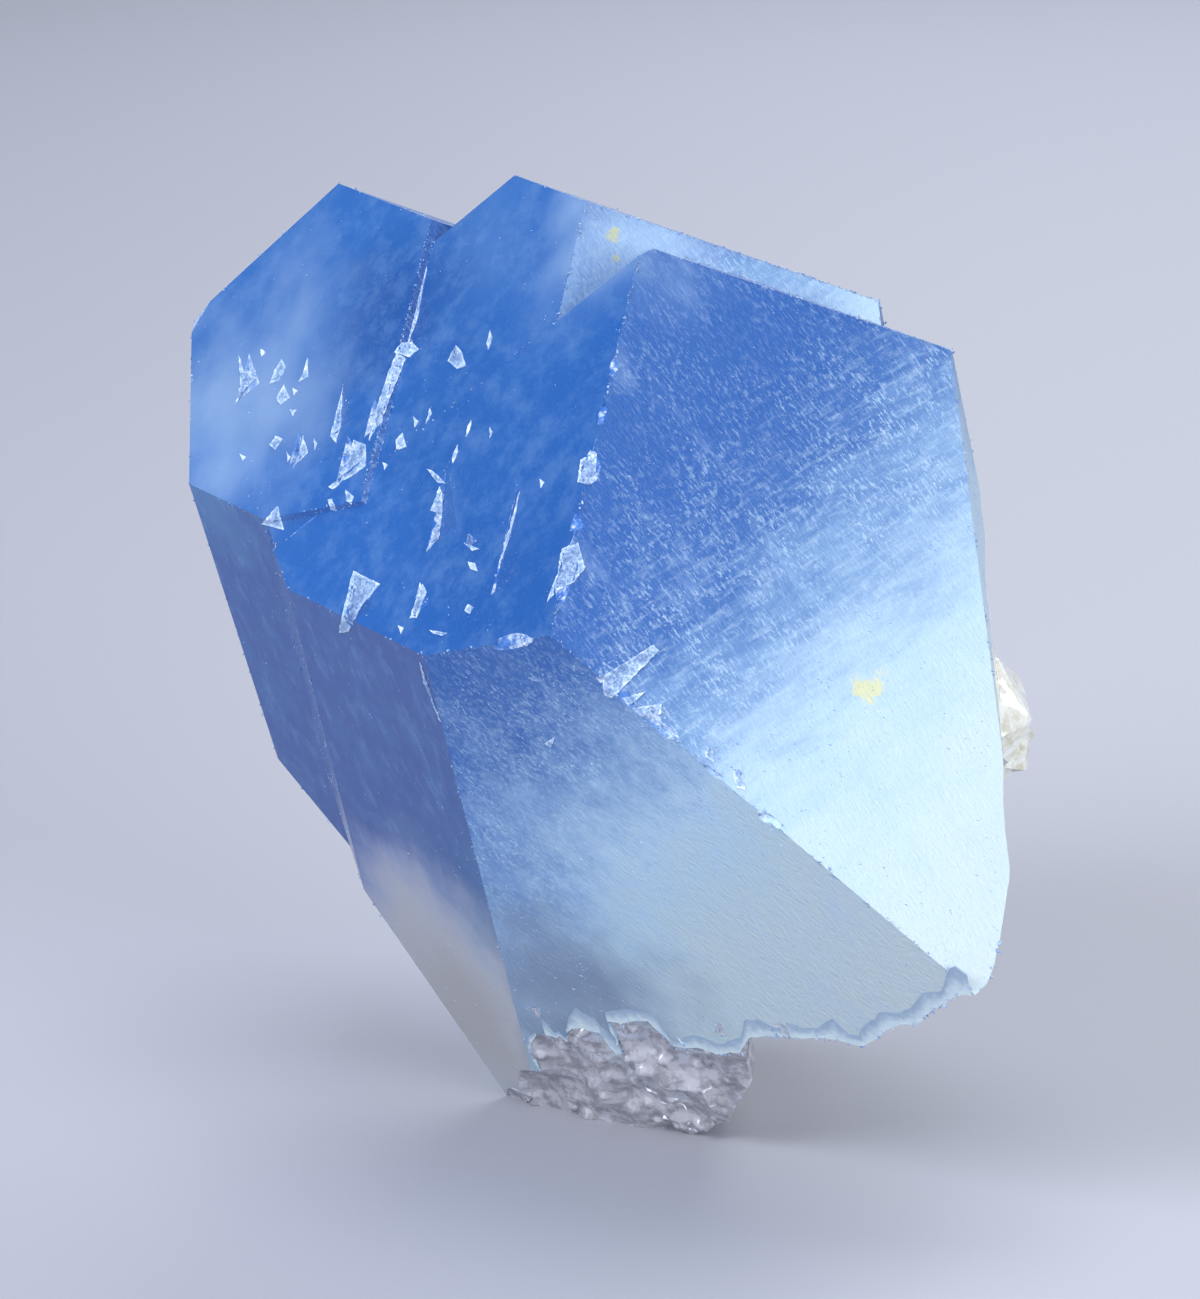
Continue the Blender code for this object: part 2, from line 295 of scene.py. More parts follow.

# %% [markdown]
# Each face gets five numbers, which the material reads later. `etch` is how strongly the face is
# etched by small pits. `break_skin` is 1 on the broken root. `frosted` is 1 on the steep walls of
# the growth pits and in the chips of the ridges, which are crushed white. `depth_and_lift` is how
# many millimetres a face's colour is shifted along the growth direction. On most faces it stands
# for the blue stone behind the face, which shifts the colour towards the tips. On the narrow right
# side and on the rear ledge it is painted light: a shift towards the pale root colours that lifts
# these faces where they lie in shade. `clear` is 1 on the lower faces, where the stone is easier to
# see through and is painted darker as shade for the dark seen through it, and `crust` is 1 on the
# cream crust at the right.

# %% Write the five numbers onto the faces
ETCH_BY_FACE = {
    "front_right": 1.0,
    "front_lower": 0.75,
    "top": 0.95,
    "left_slope": 0.12,
    "lower_left": 0.10,
    "left_side": 0.15,
    "right_side": 0.5,
}
DEFAULT_ETCH = 0.35
# Painted light: the right side's -3 and the rear ledge's -13 shift these faces towards the pale root colours, to lift
# them where they lie in shade.
DEPTH_AND_LIFT_BY_FACE = {"front_lower": -2.3, "left_slope": 3.0, "right_side": -3.0}
REAR_LEDGE_PAINTED_LIFT = -13.0
REAR_LEDGE_BEGINS = -5.0 * MM
CLEAR_BY_FACE = {"front_lower": 0.4, "lower_left": 1.0, "left_side": 1.0, "far_left": 0.4}
LARGEST_PIT_WALL = 12.0 * MM * MM
LONGEST_PIT_WALL = 8.0 * MM
LOWEST_CHIP = 16.0 * MM
LARGEST_CHIP = 40.0 * MM * MM
# The crust crystals: middle, distance of their nearest face, and reach, in millimetres.
CRUST_CRYSTALS = (
    ((22.8, -9.0, 29.6), 2.0, 5.0),
    ((23.5, -6.8, 27.1), 1.7, 4.2),
    ((25.0, -6.0, 26.1), 0.9, 2.6),
    ((22.1, -2.5, 29.6), 1.9, 4.3),
)


def longest_side(faces):
    """The longest side of the box round some faces."""
    corners = [vert.co for face in faces for vert in face.verts]
    return max(max(c[k] for c in corners) - min(c[k] for c in corners) for k in range(3))


def islands(faces):
    """Groups of faces that touch each other."""
    left = set(faces)
    groups = []
    for start in faces:
        if start not in left:
            continue
        left.discard(start)
        group = [start]
        for face in group:
            for near in [near for edge in face.edges for near in edge.link_faces if near in left]:
                left.discard(near)
                group.append(near)
        groups.append(group)
    return groups


def on_crust(face):
    """True for a face that looks out from the middle of a crust crystal and is near it."""
    for middle, nearest, reach in CRUST_CRYSTALS:
        away = face.calc_center_median() / MM - Vector(middle)
        if away.length < reach and away.dot(face.normal) > nearest:
            return True
    return False


for face in body_bm.faces:
    face[break_layer] = 1.0
    face[crust_layer] = 1.0 if on_crust(face) else 0.0
for patch in grown_patches:
    name = nearest_grown(patch[0].normal)
    pit_wall = (
        name == "front_right" and patch_area(patch) < LARGEST_PIT_WALL
        and longest_side(patch) < LONGEST_PIT_WALL)
    # Painted light: the rear ledge lies in the front head's shadow, and its shift makes it paler.
    rear_ledge = name == "front_right" and patch[0].calc_center_median().y > REAR_LEDGE_BEGINS
    for face in patch:
        if face[crust_layer] == 1.0:
            continue
        face[clear_layer] = CLEAR_BY_FACE.get(name, 0.0)
        face[break_layer] = 0.0
        face[frost_layer] = 1.0 if pit_wall else 0.0
        face[etch_layer] = ETCH_BY_FACE.get(name, DEFAULT_ETCH)
        face[depth_and_lift_layer] = REAR_LEDGE_PAINTED_LIFT if rear_ledge else DEPTH_AND_LIFT_BY_FACE.get(name, 0.0)

chip_count = 0
for island in islands([face for face in body_bm.faces if face[break_layer] == 1.0]):
    if patch_area(island) < LARGEST_CHIP and island[0].calc_center_median().z > LOWEST_CHIP:
        chip_count += 1
        for face in island:
            face[frost_layer] = 1.0 - face[crust_layer]
print(chip_count, "crushed chips on the ridges")
print("etched faces:", sorted(set(nearest_grown(patch[0].normal) or "other" for patch in grown_patches)))

# %% [markdown]
# A ridge is where two growth faces meet. Ridges wear first, so their places are kept for the tiny
# chips that are set along them later. The white chips are also a painted highlight, the thin bright
# line that a sharp ridge catches. The ridge beside the big etched face is the most worn.

# %% Note the ridges and how worn they are
WEAR_AND_GLINT_BY_PAIR = {
    ("front_right", "left_slope"): 1.0,
    ("front_lower", "front_right"): 0.7,
    ("front_right", "top"): 1.0,
    ("front_lower", "left_slope"): 0.35,
    ("front_right", "right_side"): 0.45,
    ("left_slope", "top"): 0.25,
}
DEFAULT_WEAR_AND_GLINT = 0.2
SHARP_RIDGE = math.radians(14)

ridges = []
for edge in body_bm.edges:
    if len(edge.link_faces) != 2 or edge.calc_face_angle() < SHARP_RIDGE:
        continue
    if any(face[break_layer] == 1.0 for face in edge.link_faces):
        continue
    pair = tuple(sorted(nearest_grown(face.normal) or "other" for face in edge.link_faces))
    ends = [vert.co.copy() for vert in edge.verts]
    ridges.append((ends[0], ends[1], WEAR_AND_GLINT_BY_PAIR.get(pair, DEFAULT_WEAR_AND_GLINT)))
print(len(ridges), "ridge edges between growth faces")

LIP_WEAR = 0.9
HIGHEST_LIP = 20.0 * MM
lip = []
lip_edges = {}
for edge in body_bm.edges:
    if len(edge.link_faces) == 2 and edge.link_faces[0][break_layer] != edge.link_faces[1][break_layer]:
        ends = [vert.co.copy() for vert in edge.verts]
        grown = [face for face in edge.link_faces if face[break_layer] == 0.0][0]
        if nearest_grown(grown.normal) in ("front_lower", "front_right") and ends[0].z < HIGHEST_LIP:
            lip.append((ends[0], ends[1], LIP_WEAR))
            lip_edges[edge] = nearest_grown(grown.normal)


def runs(edges):
    """Groups of edges that touch each other end to end."""
    left = set(edges)
    groups = []
    for start in edges:
        if start not in left:
            continue
        left.discard(start)
        group = [start]
        for edge in group:
            for near in [near for vert in edge.verts for near in vert.link_edges if near in left]:
                left.discard(near)
                group.append(near)
        groups.append(group)
    return groups


SHORTEST_RUN = 8
lip_run = [
    (edge.verts[0].co.copy(), edge.verts[1].co.copy(), lip_edges[edge])
    for run in runs(list(lip_edges)) if len(run) >= SHORTEST_RUN for edge in run]
print(len(lip), "edges along the scalloped lip,", len(lip_run), "of them in long runs")

# %% Cut the broken skin finer and give it relief
FOOT_TOP = 15.0 * MM
KNOB_APART = 1.1
LARGEST_KNOB = 0.75


def cut_finer(edges):
    """Cut each of these edges in three."""
    bmesh.ops.subdivide_edges(body_bm, edges=edges, cuts=2, use_grid_fill=True)
    bmesh.ops.triangulate(body_bm, faces=[face for face in body_bm.faces if len(face.verts) > 3])
    body_bm.normal_update()


def in_front_foot(face):
    """True for broken skin low on the side that faces the picture."""
    return face[break_layer] == 1.0 and face.calc_center_median().z < FOOT_TOP and face.normal.y < -0.3


cut_finer([edge for edge in body_bm.edges if any(face[break_layer] == 1.0 for face in edge.link_faces)])
cut_finer([edge for edge in body_bm.edges if all(in_front_foot(face) for face in edge.link_faces)])


def break_ripple(place):
    """Fine relief of a glassy break, in millimetres, at a place in millimetres."""
    near = noise.voronoi(place / 0.9)[0][0]
    return 0.16 * min(near, 1.0) ** 2 + 0.10 * noise.noise(place / 0.5) - 0.05


def knobs(place):
    """Height of the small round knobs that cover the foot like droplets, in millimetres."""
    distances, centres = noise.voronoi(place / KNOB_APART)
    height = 0.0
    for near, centre in zip(distances[:2], centres[:2]):
        radius = LARGEST_KNOB * min(max(0.25 + 1.3 * noise.noise(centre * 5.3), 0.0), 1.0)
        reach = near * KNOB_APART
        if reach < radius:
            height = max(height, 0.7 * radius * (1.0 - (reach / radius) ** 2) ** 1.5)
    return height


moves = {}
for vert in body_bm.verts:
    if all(face[break_layer] == 1.0 for face in vert.link_faces):
        relief = break_ripple(vert.co / MM)
        if any(in_front_foot(face) for face in vert.link_faces):
            relief = 0.2 * noise.noise(vert.co / MM / 2.0) + knobs(vert.co / MM)
        moves[vert] = vert.normal * relief * MM
for vert, move in moves.items():
    vert.co += move
    vert.co.z = max(vert.co.z, 0.0)
for face in body_bm.faces:
    face.smooth = face[break_layer] == 1.0
body_bm.normal_update()
for edge in body_bm.edges:
    low_break = all(face[break_layer] == 1.0 for face in edge.link_faces) and edge.verts[0].co.z < FOOT_TOP
    same_kind = len({face[break_layer] for face in edge.link_faces}) == 1
    edge.smooth = same_kind and edge.calc_face_angle() < math.radians(70 if low_break else 24)
body_tree = BVHTree.FromBMesh(body_bm)
body = mesh_object("crystal_body", body_bm)
print("body:", len(body.data.polygons), "faces")

# %% [markdown]
# ## Colour and haze
#
# A crystal of this kind is zoned. The white root grew first and the blue tips last, so the colour
# changes along one direction, from the lower right to the upper left. The material measures how
# far each place lies along it and turns that into colour. Noise makes the front between white and
# blue wander, and drawn-out noise gives the thin veils that hang in it.
#
# The stone is see-through in part: the shader mixes plain transmission with a milky body, and a
# weak blue absorption fills the inside.

# %% Small helpers for shader nodes


class Nodes:
    """Adds nodes to a material and joins them, one call for each node."""

    def __init__(self, name):
        self.material = bpy.data.materials.new(name)
        self.material.use_nodes = True
        self.tree = self.material.node_tree
        self.shader = self.tree.nodes["Principled BSDF"]
        self.output = self.tree.nodes["Material Output"]

    def put(self, socket, value):
        """Set a socket to a number, a colour or another node's output."""
        if isinstance(value, bpy.types.NodeSocket):
            self.tree.links.new(value, socket)
        else:
            socket.default_value = value

    def millimetres(self):
        """Object coordinates in millimetres."""
        place = self.tree.nodes.new("ShaderNodeTexCoord")
        scaled = self.tree.nodes.new("ShaderNodeMapping")
        scaled.inputs["Scale"].default_value = (1000.0, 1000.0, 1000.0)
        self.tree.links.new(place.outputs["Object"], scaled.inputs["Vector"])
        return scaled.outputs["Vector"]

    def drawn_out(self, vector, way, times):
        """Coordinates that draw a noise out along a direction, so many times."""
        node = self.tree.nodes.new("ShaderNodeMapping")
        node.vector_type = "TEXTURE"
        node.inputs["Rotation"].default_value = Vector((0.0, 0.0, 1.0)).rotation_difference(way).to_euler()
        node.inputs["Scale"].default_value = (1.0, 1.0, times)
        self.tree.links.new(vector, node.inputs["Vector"])
        return node.outputs["Vector"]

    def along(self, vector, direction):
        """How far a place lies along a direction."""
        node = self.tree.nodes.new("ShaderNodeVectorMath")
        node.operation = "DOT_PRODUCT"
        self.tree.links.new(vector, node.inputs[0])
        node.inputs[1].default_value = direction
        return node.outputs["Value"]

    def distance(self, vector, point):
        """Distance from a point."""
        node = self.tree.nodes.new("ShaderNodeVectorMath")
        node.operation = "DISTANCE"
        self.tree.links.new(vector, node.inputs[0])
        node.inputs[1].default_value = point
        return node.outputs["Value"]

    def noise(self, vector, size, detail=2.0, rough=0.5, warp=0.0):
        """Noise with features of about this size."""
        node = self.tree.nodes.new("ShaderNodeTexNoise")
        self.tree.links.new(vector, node.inputs["Vector"])
        node.inputs["Scale"].default_value = 1.0 / size
        node.inputs["Detail"].default_value = detail
        node.inputs["Roughness"].default_value = rough
        node.inputs["Distortion"].default_value = warp
        return node.outputs["Fac"]

    def cells(self, vector, size, feature="F1"):
        """Distance to the nearest of scattered points about this far apart."""
        node = self.tree.nodes.new("ShaderNodeTexVoronoi")
        node.feature = feature
        self.tree.links.new(vector, node.inputs["Vector"])
        node.inputs["Scale"].default_value = 1.0 / size
        return node.outputs["Distance"]

    def math(self, operation, one, two=0.0, three=0.0):
        """One Math node."""
        node = self.tree.nodes.new("ShaderNodeMath")
        node.operation = operation
        for socket, value in zip(node.inputs, (one, two, three)):
            self.put(socket, value)
        return node.outputs["Value"]

    def ramp(self, value, low, high, to_low=0.0, to_high=1.0):
        """A soft ramp of a value between two limits."""
        node = self.tree.nodes.new("ShaderNodeMapRange")
        node.interpolation_type = "SMOOTHSTEP"
        self.put(node.inputs["Value"], value)
        for name, number in (("From Min", low), ("From Max", high), ("To Min", to_low), ("To Max", to_high)):
            self.put(node.inputs[name], number)
        return node.outputs["Result"]

    def colours(self, value, stops):
        """A colour ramp, given as (position, colour)."""
        node = self.tree.nodes.new("ShaderNodeValToRGB")
        self.put(node.inputs["Fac"], value)
        elements = node.color_ramp.elements
        while len(elements) < len(stops):
            elements.new(0.5)
        for element, (position, colour) in zip(elements, stops):
            element.position = position
            element.color = (*colour, 1.0)
        return node.outputs["Color"]

    def blend(self, share, one, two, mode="MIX"):
        """Mix two colours."""
        node = self.tree.nodes.new("ShaderNodeMix")
        node.data_type = "RGBA"
        node.blend_type = mode
        self.put(node.inputs[0], share)
        self.put(node.inputs[6], one)
        self.put(node.inputs[7], two)
        return node.outputs[2]

    def attribute(self, name):
        """A number stored on the mesh."""
        node = self.tree.nodes.new("ShaderNodeAttribute")
        node.attribute_name = name
        return node.outputs["Fac"]

    def bump(self, height, distance, strength=1.0, below=None):
        """Turn a height into a bent normal. Distance is in metres."""
        node = self.tree.nodes.new("ShaderNodeBump")
        node.inputs["Strength"].default_value = strength
        node.inputs["Distance"].default_value = distance
        self.put(node.inputs["Height"], height)
        if below is not None:
            self.put(node.inputs["Normal"], below)
        return node.outputs["Normal"]


print("helpers ready")

# %% [markdown]
# ## The celestite material
#
# `level` is the place along the growth direction, in millimetres, bent by noise. Everything else
# follows from it: the colour ramp, how much haze there is, and where the white dashes crowd.
# Smooth round clouds, placed by distance, give the paler haze at the tip of the middle head and a
# paler patch in the left head, which is a painted reflection of a pale light in the glossy slope.
# One cloud low on the front is painted shade, and a paler spot near the top of the middle head is
# painted light that lifts it out of shade. Three small rusty stains are drawn the same way.

# %% Zoned colour
GROWTH_WAY = Vector((-0.60, 0.16, 0.53))
LEVEL_AT_ORIGIN = 12.2
FRONT_LEVEL = 28.0
LOWEST_LEVEL = -4.0
HIGHEST_LEVEL = 62.0

# The dashes lie in the big etched face and run down to the right in the picture.
VIEW_WAY = (AIM - EYE).normalized()
UP_IN_PICTURE = (Vector((0.0, 0.0, 1.0)) - VIEW_WAY * VIEW_WAY.z).normalized()


def way_in_face(across, up):
    """The direction in the big etched face that runs this way in the picture."""
    way = Vector((across, 0.0, 0.0)) + up * UP_IN_PICTURE
    way -= VIEW_WAY * (way.dot(GROWN["front_right"]) / VIEW_WAY.dot(GROWN["front_right"]))
    return way.normalized()


hair_way = way_in_face(0.6, -0.8)
veil_way = way_in_face(0.86, 0.50)

stone = Nodes("zoned_celestite")
place = stone.millimetres()
clear = stone.attribute("clear")
crusty = stone.attribute("crust")
etched = stone.attribute("etch")
broken = stone.attribute("break_skin")
frosted = stone.attribute("frosted")
hair = stone.drawn_out(place, hair_way, 3.0)
veil = stone.drawn_out(place, veil_way, 5.0)
# The per-face shift also holds the painted light of the right side and the rear ledge.
level = stone.math("ADD", stone.along(place, GROWTH_WAY), stone.attribute("depth_and_lift"))
level = stone.math("ADD", level, LEVEL_AT_ORIGIN)


def wander(levels, texture, amount):
    """Bend the levels up and down by a noise texture, by at most half this amount each way."""
    return stone.math("MULTIPLY_ADD", stone.math("SUBTRACT", texture, 0.5), amount, levels)


level = wander(level, stone.noise(place, 9.0, 3.0, 0.55), 9.0)
level = wander(level, stone.noise(veil, 1.5, 4.0, 0.75), stone.ramp(etched, 0.0, 0.9, 2.0, 9.0))
zone = stone.ramp(level, LOWEST_LEVEL, HIGHEST_LEVEL)
zone.node.interpolation_type = "LINEAR"


def zone_stop(millimetres, colour):
    """A colour stop given by its place along the growth direction."""
    return ((millimetres - LOWEST_LEVEL) / (HIGHEST_LEVEL - LOWEST_LEVEL), colour)


tint = stone.colours(zone, [
    zone_stop(2.0, (0.62, 0.74, 0.80)),
    zone_stop(11.0, (0.60, 0.75, 0.84)),
    zone_stop(17.0, (0.50, 0.70, 0.90)),
    zone_stop(22.5, (0.22, 0.40, 0.72)),
    zone_stop(27.0, (0.050, 0.18, 0.56)),
    zone_stop(32.0, (0.022, 0.145, 0.55)),
    zone_stop(60.0, (0.040, 0.190, 0.62)),
])

# %% Clouds of haze, dashes and stains


broad = stone.noise(place, 5.0, 3.0)
speckle = stone.noise(place, 1.1, 3.0, 0.68)


def cloud(colours, ragged, point, radius, colour, share):
    """Blend a soft round cloud into the colours. Point and radius are in millimetres."""
    reach = wander(stone.distance(place, point), ragged, radius)
    return stone.blend(stone.ramp(reach, 0.0, radius, share, 0.0), colours, (*colour, 1.0))


# Painted reflection: a paler blue patch in the left head, standing in for a pale light mirrored in the glossy slope.
tint = cloud(tint, broad, (-25.0, 10.0, 46.0), 14.0, (0.36, 0.55, 0.90), 0.85)
tint = cloud(tint, broad, (-6.5, 4.0, 57.0), 7.0, (0.15, 0.34, 0.76), 0.45)
tint = cloud(tint, broad, (-12.5, 7.0, 51.0), 9.0, (0.010, 0.075, 0.36), 0.55)
tint = cloud(tint, broad, (2.5, -1.0, 57.0), 8.5, (0.46, 0.68, 1.00), 0.85)

# Painted light: a paler blue on the etched faces near the top of the middle head lifts a part that lies in shade.
tip_painted_lift = stone.ramp(stone.distance(place, (-1.8, -3.8, 54.2)), 1.0, 6.5, 0.75, 0.0)
tint = stone.blend(stone.math("MULTIPLY", tip_painted_lift, etched), tint, (0.34, 0.58, 1.0, 1.0))

glossy = stone.math("SUBTRACT", 1.0, stone.ramp(etched, 0.2, 0.5))
haze = stone.math("MULTIPLY", stone.ramp(stone.noise(place, 2.6, 4.0, 0.75), 0.42, 0.72, 0.0, 0.35), glossy)
tint = stone.blend(haze, tint, (0.20, 0.40, 0.80, 1.0))
streaks = stone.noise(hair, 0.17, 3.0, 0.70)
patchy = stone.noise(place, 3.0, 3.0, 0.65)
near_front = stone.math("SUBTRACT", 1.0, stone.ramp(
    stone.math("ABSOLUTE", stone.math("SUBTRACT", level, FRONT_LEVEL - 4.0)), 1.0, 12.0))
flecking = stone.math("MULTIPLY", stone.math("MULTIPLY_ADD", near_front, 0.55, 0.40), etched)
flecking = stone.math("MULTIPLY", flecking, stone.ramp(patchy, 0.36, 0.64, 0.30, 1.0))
flecks = stone.math("MULTIPLY", stone.ramp(streaks, 0.51, 0.64, 0.0, 0.90), flecking)
tint = stone.blend(flecks, tint, (0.50, 0.72, 1.0, 1.0))
veined = stone.noise(hair, 3.0, 4.0, 0.72)
veins = stone.math("MULTIPLY", stone.ramp(veined, 0.52, 0.74, 0.0, 0.32), etched)
tint = stone.blend(veins, tint, (0.44, 0.65, 1.0, 1.0))
veils = stone.ramp(stone.noise(veil, 0.45, 4.0, 0.72), 0.48, 0.72, 0.0, 0.48)
veils = stone.math("MULTIPLY", veils, stone.math("MULTIPLY", near_front, etched))
tint = stone.blend(veils, tint, (0.56, 0.77, 1.0, 1.0))
all_clear = stone.ramp(clear, 0.5, 0.9)
# Painted shade: the clear lower faces are darkened towards deep blue-green, for the dark that is seen through the clear
# stone.
tint = stone.blend(stone.math("MULTIPLY", all_clear, 0.9), tint, (0.10, 0.42, 0.56, 1.0), "MULTIPLY")
upright = stone.drawn_out(place, Vector((0.0, 0.0, 1.0)), 4.5)
wisps = stone.math("MULTIPLY", stone.ramp(stone.noise(upright, 1.2, 4.0, 0.7), 0.50, 0.68, 0.0, 0.35), all_clear)
tint = stone.blend(wisps, tint, (0.12, 0.27, 0.56, 1.0))
# Painted shade: a dark grey-blue cloud low on the front, where the lower faces look down and lie in shade.
tint = cloud(tint, broad, (-2.5, -7.0, 10.0), 14.0, (0.17, 0.24, 0.40), 0.85)
pale_reach = stone.math("MULTIPLY_ADD", broad, 7.0, stone.distance(place, (-9.5, 2.5, 6.0)))
pale_foot = stone.math("MULTIPLY", stone.ramp(pale_reach, 5.5, 19.5, 1.0, 0.0), all_clear)
tint = stone.blend(pale_foot, tint, (0.90, 0.90, 0.95, 1.0))
low_break = stone.math("MULTIPLY", broken, stone.ramp(stone.along(place, (0.0, 0.0, 1.0)), 8.0, 15.0, 0.8, 0.0))
tint = stone.blend(low_break, tint, (0.86, 0.83, 0.92, 1.0))

dot_cells = stone.cells(place, 0.34)
dot_share = stone.math("MAXIMUM", flecking, stone.math("MULTIPLY", broken, 0.8))
dot_there = stone.ramp(speckle, 0.48, 0.64, 0.0, 0.8)
few_dots = stone.ramp(speckle, 0.66, 0.72, 0.0, 0.7)
dot_share = stone.math("MAXIMUM", stone.math("MULTIPLY", dot_share, dot_there), few_dots)
dots = stone.math("MULTIPLY", stone.ramp(dot_cells, 0.08, 0.24, 1.0, 0.0), dot_share)
tint = stone.blend(dots, tint, (0.88, 0.95, 1.0, 1.0))

crushed = stone.colours(stone.noise(place, 0.25, 3.0, 0.7), [
    (0.34, (0.25, 0.40, 0.72)), (0.50, (0.60, 0.75, 0.95)), (0.66, (0.92, 0.97, 1.0))])
crumbling = stone.math("MULTIPLY", frosted, stone.ramp(speckle, 0.44, 0.60, 0.0, 0.9))
tint = stone.blend(crumbling, tint, crushed)
cream = stone.colours(speckle, [
    (0.35, (0.62, 0.60, 0.48)), (0.55, (0.80, 0.82, 0.78)), (0.75, (0.92, 0.94, 0.92))])
tint = stone.blend(crusty, tint, cream)

STAINS = (((16.2, -17.5, 33.4), 1.3), ((0.7, -0.6, 57.6), 0.6), ((1.0, -1.4, 56.2), 0.35))
for stain_place, stain_size in STAINS:
    ragged_reach = wander(stone.distance(place, stain_place), speckle, 4.0 * stain_size)
    stain = stone.ramp(ragged_reach, 0.3 * stain_size, stain_size, 0.7, 0.0)
    tint = stone.blend(stain, tint, (0.80, 0.78, 0.34, 1.0))
stone.put(stone.shader.inputs["Base Color"], tint)

# %% Gloss, haze and relief
shine = stone.ramp(etched, 0.0, 1.0, 0.09, 0.50)
shine = stone.math("MULTIPLY_ADD", speckle, 0.12, shine)
shine = stone.math("MULTIPLY", shine, stone.ramp(broken, 0.0, 1.0, 1.0, 0.45))
shine = stone.math("MAXIMUM", shine, stone.math("MULTIPLY", frosted, 0.35))
stone.put(stone.shader.inputs["Roughness"], shine)
stone.shader.inputs["IOR"].default_value = 1.62
stone.shader.inputs["Specular IOR Level"].default_value = 0.35
milky = stone.ramp(level, 12.0, 34.0, 0.12, 0.36)
milky = stone.math("MULTIPLY", milky, stone.ramp(all_clear, 0.0, 1.0, 1.0, 0.3))
clear_low = stone.math("MULTIPLY", clear, stone.ramp(level, 12.0, 28.0, 0.60, 0.15))
clear_low = stone.math("MAXIMUM", clear_low, stone.math("MULTIPLY", pale_foot, 0.6))
clear_foot = stone.math("MULTIPLY", low_break, stone.ramp(speckle, 0.40, 0.60, 0.80, 0.46))
see_through = stone.math("MAXIMUM", stone.math("MAXIMUM", milky, clear_foot), clear_low)
opaque = stone.math("MAXIMUM", stone.math("MULTIPLY", frosted, 0.8), crusty)
see_through = stone.math("MULTIPLY", see_through, stone.math("SUBTRACT", 1.0, opaque))
stone.put(stone.shader.inputs["Transmission Weight"], see_through)

pitting = stone.noise(hair, 0.20, 3.0, 0.7)
height = stone.math("MULTIPLY", pitting, stone.math("MAXIMUM", etched, frosted))
stone.put(stone.shader.inputs["Normal"], stone.bump(height, 0.00012, 0.9))

inside = stone.tree.nodes.new("ShaderNodeVolumeAbsorption")
inside.inputs["Color"].default_value = (0.45, 0.70, 0.97, 1.0)
inside.inputs["Density"].default_value = 10.0
stone.tree.links.new(inside.outputs["Volume"], stone.output.inputs["Volume"])
body.data.materials.clear()
body.data.materials.append(stone.material)
print("celestite material:", len(stone.tree.nodes), "nodes")

# %% [markdown]
# ## Finding a place on the crystal from the picture
#
# Some marks sit where the picture shows them: the pits' bright walls, the white chips on the
# ridges, the yellow stains. A straight line from the camera through a pixel meets the crystal's
# skin at one place, so a mark that is drawn in pixels lands on the skin and stays there, also when
# it is seen from the side. A line that just misses takes the nearest place on the skin.

# %% From a pixel to a place
CAMERA_TURN = camera.rotation_euler.to_matrix()


def spot(across, down):
    """The place on the skin that shows at a pixel of the picture, and the outward direction."""
    ray = Vector((
        (across - PICTURE_WIDE / 2) / PIXELS_PER_RADIAN,
        (PICTURE_HIGH / 2 - down) / PIXELS_PER_RADIAN,
        -1.0))
    way = (CAMERA_TURN @ ray).normalized()
    hit, normal, index, distance = body_tree.ray_cast(EYE, way)
    if hit is None:
        hit, normal, index, distance = body_tree.find_nearest(EYE + way * (AIM - EYE).length)
    return hit, normal


for name, pixel in (("nearest corner", (550, 637)), ("stain", (872, 687)), ("stain two", (612, 236)), ("left", (222, 400)), ("tip", (500, 235)), ("tri", (600, 255))):
    print(name, "in mm:", tuple(round(value / MM, 1) for value in spot(*pixel)[0]))

# %% [markdown]
# ## Bright walls of the growth pits
#
# The glossy slope has small growth pits. Their steep walls are frosted and catch the light as
# white slivers and triangles. Each is drawn as a thin flake that follows the skin: a flat outline
# in the picture, cut fine, laid onto the crystal and given a little thickness and roughness.

